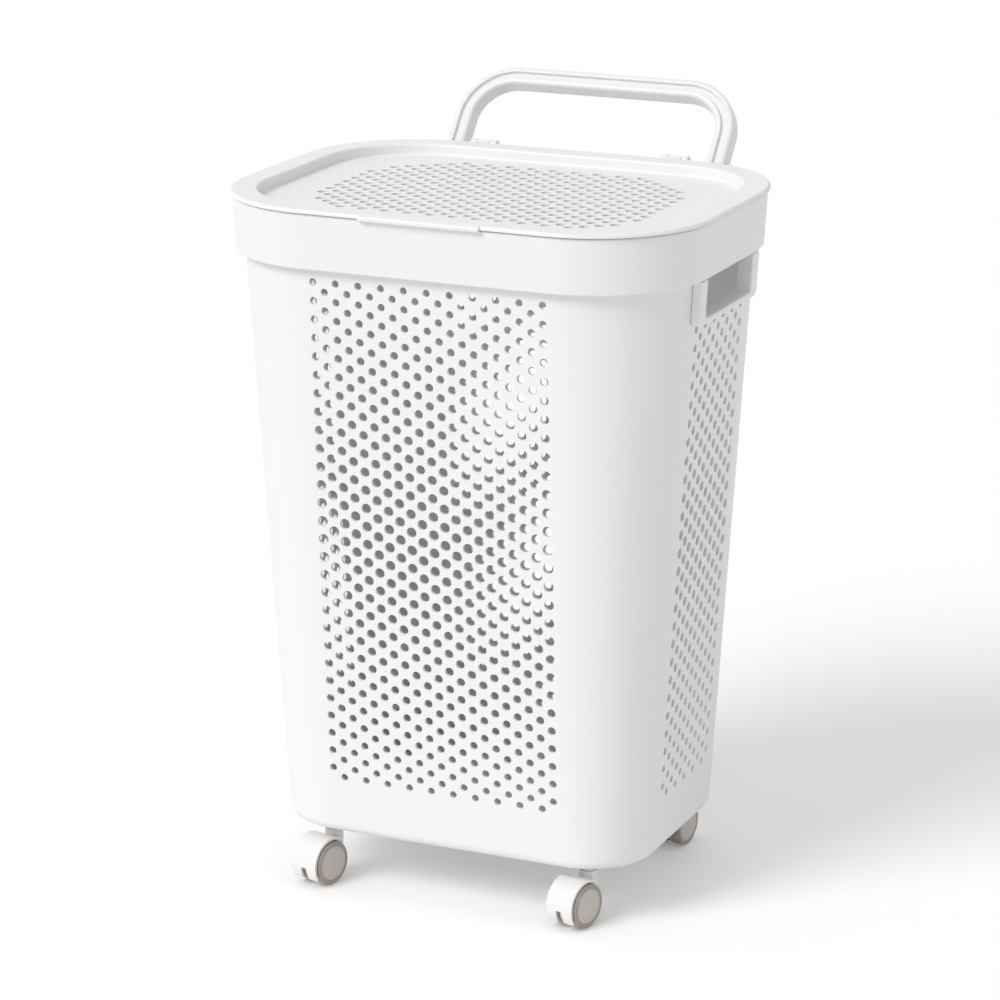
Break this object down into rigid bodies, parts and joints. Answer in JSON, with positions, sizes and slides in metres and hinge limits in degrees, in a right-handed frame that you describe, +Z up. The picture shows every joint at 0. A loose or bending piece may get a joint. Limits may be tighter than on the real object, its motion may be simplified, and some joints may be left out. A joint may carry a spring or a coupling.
{
  "type": "laundry hamper with lid",
  "caption": "Tall perforated laundry hamper on swivel casters, with a hinged tray lid, side hand grips and a swinging pull handle.",
  "frame": {"origin": "on the floor under the middle of the whole outline", "axes": "+Z up, front of the hamper toward -Y, pull handle toward +Y"},
  "size_m": [0.3976, 0.3794, 0.6227],
  "materials": {
    "white_plastic": "satin",
    "white_gloss": "gloss",
    "tread_plastic": "matte",
    "disc_plastic": "satin",
    "socket_plastic": "matte",
    "steel": "satin"
  },
  "bodies": {
    "tub": {"handle_pin_left": "steel", "handle_pin_right": "steel", "lid_hinge_pin_left": "steel", "lid_hinge_pin_right": "steel", "panel_back": "white_plastic", "panel_front": "white_plastic", "panel_left": "white_plastic", "panel_right": "white_plastic", "rim_collar": "white_plastic", "side_grip_left": "white_plastic", "side_grip_right": "white_plastic", "socket_front_left": "socket_plastic", "socket_front_right": "socket_plastic", "socket_rear_left": "socket_plastic", "socket_rear_right": "socket_plastic", "tub_shell": "white_plastic"},
    "lid": {"lid_rim": "white_plastic", "lid_panel": "white_plastic"},
    "handle": {"pull_handle": "white_plastic"},
    "caster_front_left_swivel": {"caster_front_left_hood": "white_gloss", "caster_front_left_stem": "steel"},
    "caster_front_left_wheels": {"caster_front_left_axle": "steel", "caster_front_left_wheel_left": "tread_plastic", "caster_front_left_wheel_right": "tread_plastic", "caster_front_left_cap_left": "disc_plastic", "caster_front_left_cap_right": "disc_plastic"},
    "caster_front_right_swivel": {"caster_front_right_hood": "white_gloss", "caster_front_right_stem": "steel"},
    "caster_front_right_wheels": {"caster_front_right_axle": "steel", "caster_front_right_wheel_left": "tread_plastic", "caster_front_right_wheel_right": "tread_plastic", "caster_front_right_cap_left": "disc_plastic", "caster_front_right_cap_right": "disc_plastic"},
    "caster_rear_left_swivel": {"caster_rear_left_hood": "white_gloss", "caster_rear_left_stem": "steel"},
    "caster_rear_left_wheels": {"caster_rear_left_axle": "steel", "caster_rear_left_wheel_left": "tread_plastic", "caster_rear_left_wheel_right": "tread_plastic", "caster_rear_left_cap_left": "disc_plastic", "caster_rear_left_cap_right": "disc_plastic"},
    "caster_rear_right_swivel": {"caster_rear_right_hood": "white_gloss", "caster_rear_right_stem": "steel"},
    "caster_rear_right_wheels": {"caster_rear_right_axle": "steel", "caster_rear_right_wheel_left": "tread_plastic", "caster_rear_right_wheel_right": "tread_plastic", "caster_rear_right_cap_left": "disc_plastic", "caster_rear_right_cap_right": "disc_plastic"}
  },
  "joints": [
    {"name": "lid_hinge", "type": "hinge", "parent": "tub", "child": "lid", "pos_m": [0, 0.12269, 0.5654], "axis": [-1, 0, 0], "range_deg": [0, 100]},
    {"name": "handle_pivot", "type": "hinge", "parent": "tub", "child": "handle", "pos_m": [0, 0.13409, 0.5574], "axis": [-1, 0, 0], "range_deg": [0, 130]},
    {"name": "front_left_swivel", "type": "hinge", "parent": "tub", "child": "caster_front_left_swivel", "pos_m": [-0.1125, -0.11689, 0.042], "axis": [0, 0, 1], "continuous": true},
    {"name": "front_left_roll", "type": "hinge", "parent": "caster_front_left_swivel", "child": "caster_front_left_wheels", "pos_m": [-0.1169, -0.13331, 0.018], "axis": [0.9659, -0.2588, 0], "continuous": true},
    {"name": "front_right_swivel", "type": "hinge", "parent": "tub", "child": "caster_front_right_swivel", "pos_m": [0.1125, -0.11689, 0.042], "axis": [0, 0, 1], "continuous": true},
    {"name": "front_right_roll", "type": "hinge", "parent": "caster_front_right_swivel", "child": "caster_front_right_wheels", "pos_m": [0.1081, -0.13331, 0.018], "axis": [0.9659, -0.2588, 0], "continuous": true},
    {"name": "rear_left_swivel", "type": "hinge", "parent": "tub", "child": "caster_rear_left_swivel", "pos_m": [-0.1125, 0.04711, 0.042], "axis": [0, 0, 1], "continuous": true},
    {"name": "rear_left_roll", "type": "hinge", "parent": "caster_rear_left_swivel", "child": "caster_rear_left_wheels", "pos_m": [-0.11072, 0.06402, 0.018], "axis": [-0.9945, 0.1045, 0], "continuous": true},
    {"name": "rear_right_swivel", "type": "hinge", "parent": "tub", "child": "caster_rear_right_swivel", "pos_m": [0.1125, 0.04711, 0.042], "axis": [0, 0, 1], "continuous": true},
    {"name": "rear_right_roll", "type": "hinge", "parent": "caster_rear_right_swivel", "child": "caster_rear_right_wheels", "pos_m": [0.11428, 0.06402, 0.018], "axis": [-0.9945, 0.1045, 0], "continuous": true}
  ]
}
